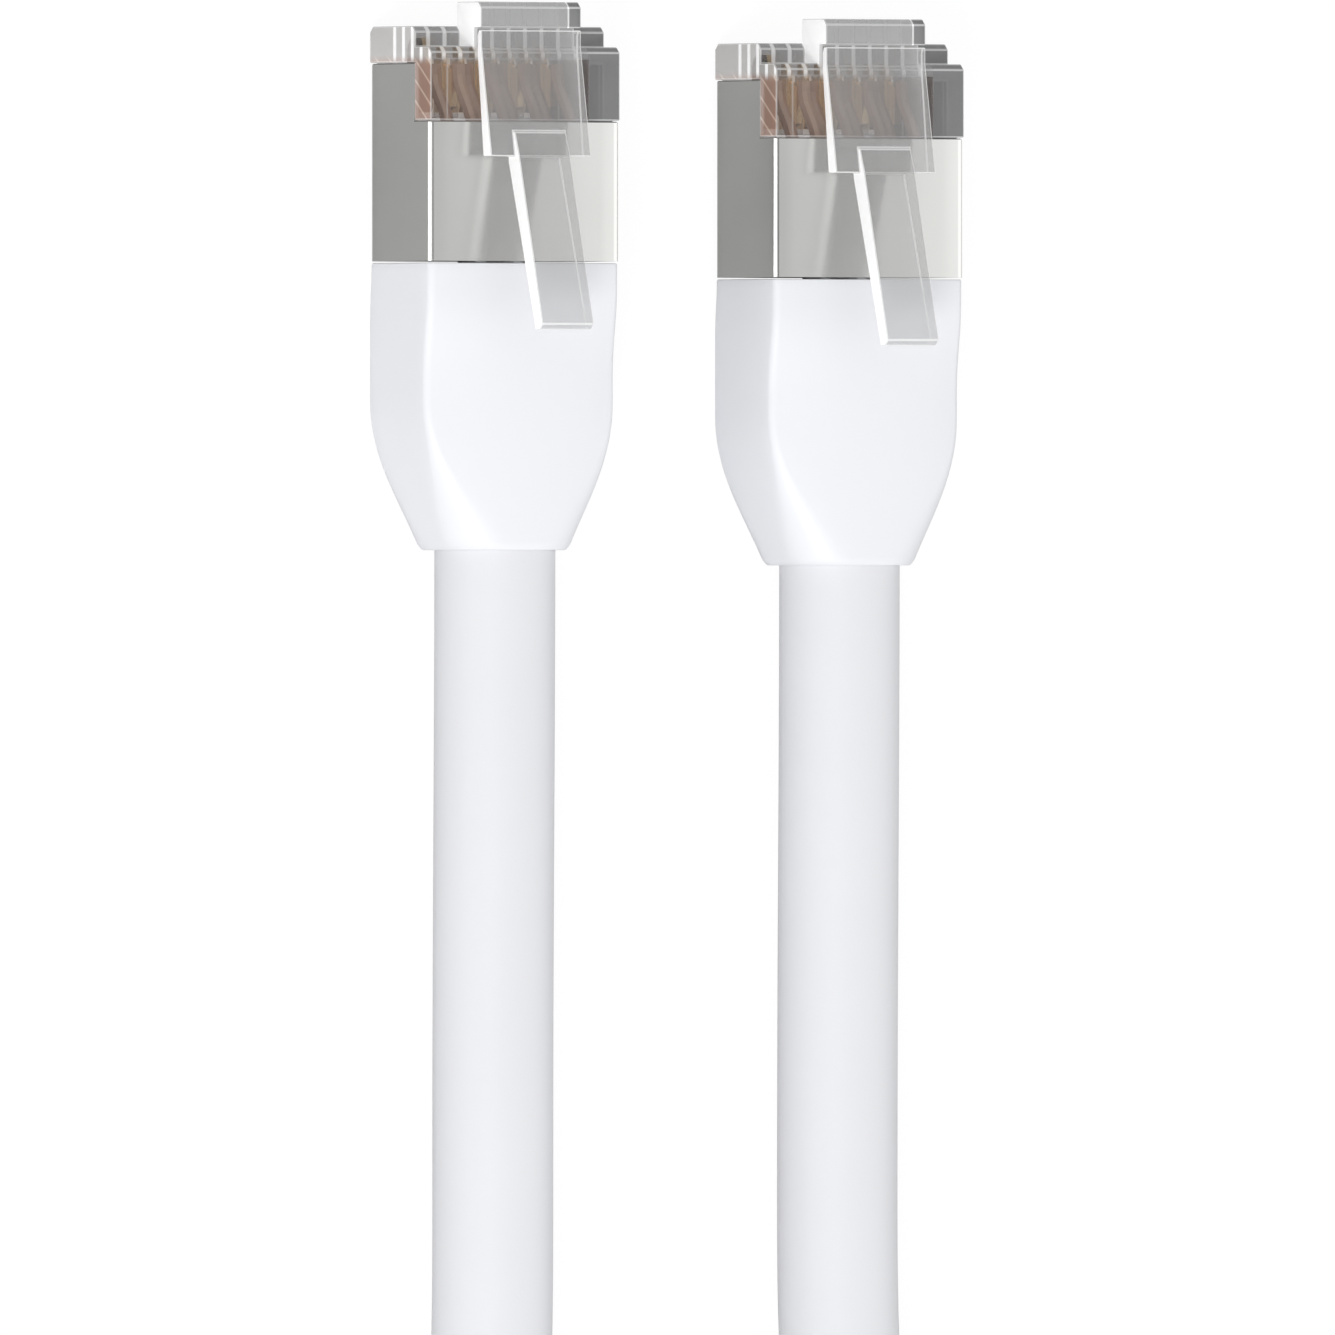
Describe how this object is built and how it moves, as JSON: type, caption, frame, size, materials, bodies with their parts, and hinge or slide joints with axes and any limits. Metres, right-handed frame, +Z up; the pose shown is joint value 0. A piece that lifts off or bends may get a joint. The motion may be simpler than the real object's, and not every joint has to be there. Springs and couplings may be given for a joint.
{
  "type": "ethernet patch cable",
  "caption": "Round white network cable with a clear, shielded modular plug, sprung latch and white boot on each end, its spare length folded and tied.",
  "frame": {"origin": "on the surface that the plugs lie on, under the middle of the two plugs", "axes": "+X from plug a to plug b, +Y towards the plugs' noses, +Z up from the contact side to the latch side"},
  "size_m": [0.0608, 0.1866, 0.0143],
  "materials": {
    "clear_plastic": "clear moulded polycarbonate",
    "nickel_plate": "nickel-plated sheet, satin",
    "gold_plate": "gold-plated",
    "copper": "drawn copper",
    "foil_wrap": "aluminium foil",
    "tinned_braid": "tinned wire braid",
    "white_jacket": "satin white cable jacket",
    "white_boot": "satin white moulded boot",
    "white_tie": "woven white strap"
  },
  "bodies": {
    "root": {"plug_housing_a": "clear_plastic", "wire_guide_a": "clear_plastic", "shield_shell_a": "nickel_plate", "crimp_ferrule_a": "nickel_plate", "contact_1_a": "gold_plate", "conductor_1_a": "copper", "contact_2_a": "gold_plate", "conductor_2_a": "copper", "contact_3_a": "gold_plate", "conductor_3_a": "copper", "contact_4_a": "gold_plate", "conductor_4_a": "copper", "contact_5_a": "gold_plate", "conductor_5_a": "copper", "contact_6_a": "gold_plate", "conductor_6_a": "copper", "contact_7_a": "gold_plate", "conductor_7_a": "copper", "contact_8_a": "gold_plate", "conductor_8_a": "copper", "wire_bundle_a": "foil_wrap", "braid_a": "tinned_braid", "jacket_end_a": "white_jacket", "boot_a": "white_boot", "plug_housing_b": "clear_plastic", "wire_guide_b": "clear_plastic", "shield_shell_b": "nickel_plate", "crimp_ferrule_b": "nickel_plate", "contact_1_b": "gold_plate", "conductor_1_b": "copper", "contact_2_b": "gold_plate", "conductor_2_b": "copper", "contact_3_b": "gold_plate", "conductor_3_b": "copper", "contact_4_b": "gold_plate", "conductor_4_b": "copper", "contact_5_b": "gold_plate", "conductor_5_b": "copper", "contact_6_b": "gold_plate", "conductor_6_b": "copper", "contact_7_b": "gold_plate", "conductor_7_b": "copper", "contact_8_b": "gold_plate", "conductor_8_b": "copper", "wire_bundle_b": "foil_wrap", "braid_b": "tinned_braid", "jacket_end_b": "white_jacket", "boot_b": "white_boot", "lead_a": "white_jacket", "lead_b": "white_jacket", "hank": "white_jacket", "tie_left": "white_tie", "tie_right": "white_tie"},
    "latch_a": {"latch_a": "clear_plastic"},
    "latch_b": {"latch_b": "clear_plastic"}
  },
  "joints": [
    {"name": "latch_a_press", "type": "hinge", "parent": "root", "child": "latch_a", "pos_m": [-0.0107, 0.01315, 0.00705], "axis": [1, 0, 0], "range_deg": [0, 7], "stiffness_Nm_per_rad": 0.2},
    {"name": "latch_b_press", "type": "hinge", "parent": "root", "child": "latch_b", "pos_m": [0.0107, 0.01235, 0.00705], "axis": [1, 0, 0], "range_deg": [0, 7], "stiffness_Nm_per_rad": 0.2}
  ]
}
